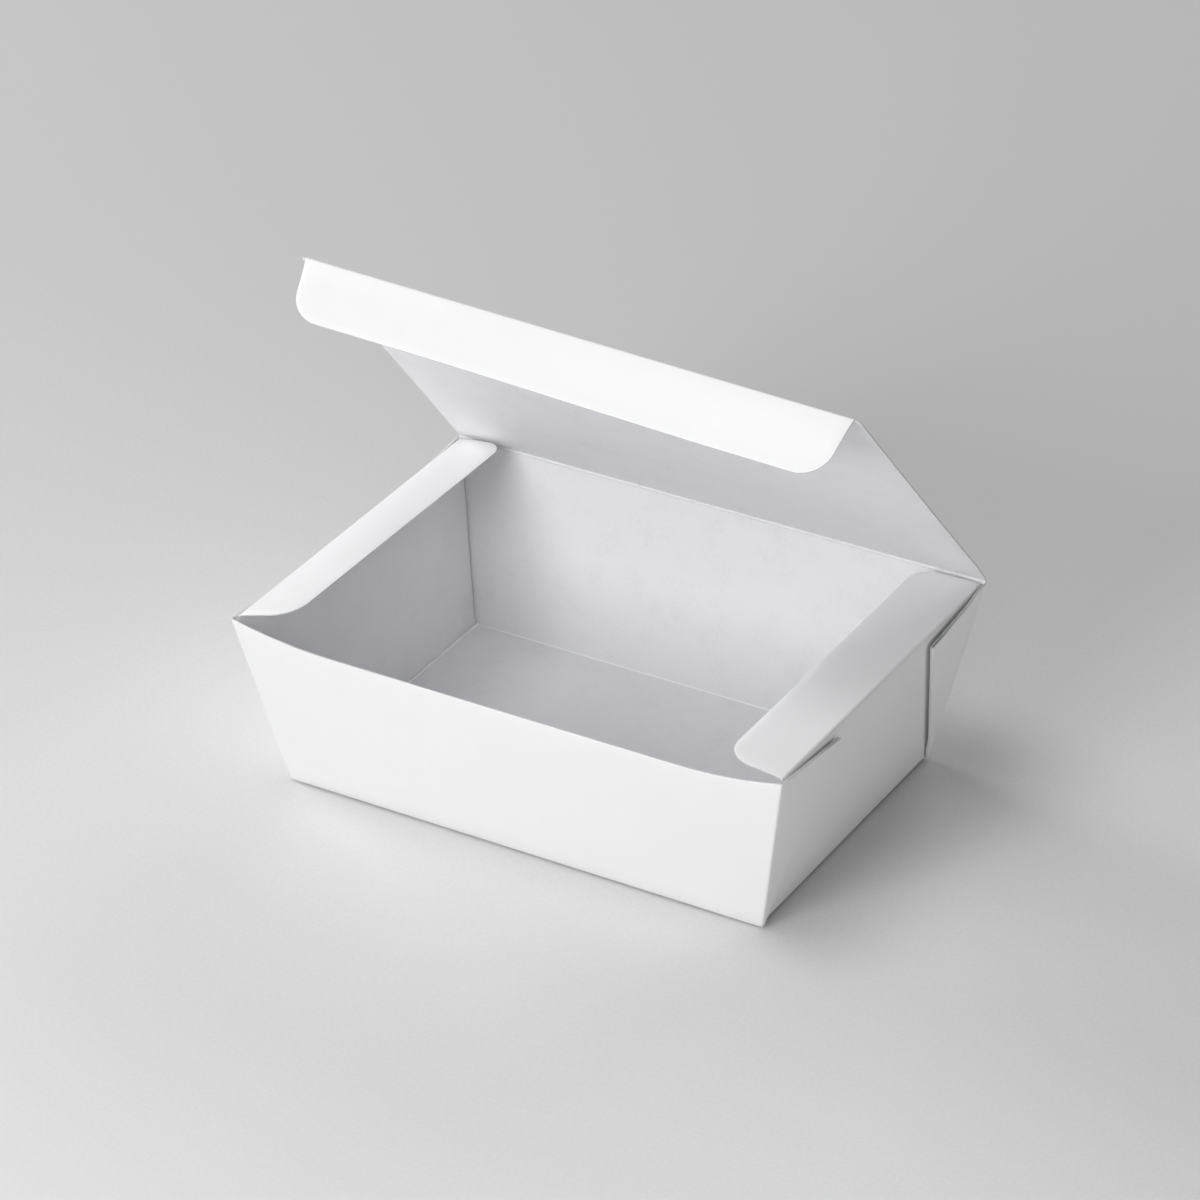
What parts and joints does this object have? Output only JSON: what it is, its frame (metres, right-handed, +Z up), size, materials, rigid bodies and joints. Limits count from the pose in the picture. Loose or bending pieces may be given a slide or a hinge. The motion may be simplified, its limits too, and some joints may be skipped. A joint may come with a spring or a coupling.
{
  "type": "takeaway box",
  "caption": "Open takeaway box folded from white paperboard, with flared walls, webbed corners, a hinged lid with a tuck flap, and side flaps.",
  "frame": {"origin": "middle of the base's underside, on the table", "axes": "+X to the right along the long side, -Y to the front wall with the dip, +Z up"},
  "size_m": [0.197, 0.1391, 0.1659],
  "materials": {
    "paperboard": "matte white coated paperboard, uncoated inside"
  },
  "bodies": {
    "tray": {"tray": "paperboard"},
    "lid": {"lid": "paperboard"},
    "tuck_flap": {"tuck_flap": "paperboard"},
    "left_flap": {"left_flap": "paperboard"},
    "right_flap": {"right_flap": "paperboard"}
  },
  "joints": [
    {"name": "lid_hinge", "type": "hinge", "parent": "tray", "child": "lid", "pos_m": [0, 0.06935, 0.06392], "axis": [-1, 0, 0], "range_deg": [-47.5, 132.5]},
    {"name": "tuck_fold", "type": "hinge", "parent": "lid", "child": "tuck_flap", "pos_m": [0, -0.02387, 0.16567], "axis": [-1, 0, 0], "range_deg": [-18.15, 50.6]},
    {"name": "left_flap_fold", "type": "hinge", "parent": "tray", "child": "left_flap", "pos_m": [-0.09694, 0, 0.06323], "axis": [0, -1, 0], "range_deg": [-15.01, 41.85]},
    {"name": "right_flap_fold", "type": "hinge", "parent": "tray", "child": "right_flap", "pos_m": [0.09694, 0, 0.06323], "axis": [0, 1, 0], "range_deg": [-5.51, 15.35]}
  ],
  "couplings": [
    {"joint": "tuck_fold", "follows": "lid_hinge", "ratio": 0.3818},
    {"joint": "left_flap_fold", "follows": "lid_hinge", "ratio": 0.3158},
    {"joint": "right_flap_fold", "follows": "lid_hinge", "ratio": 0.1158}
  ]
}
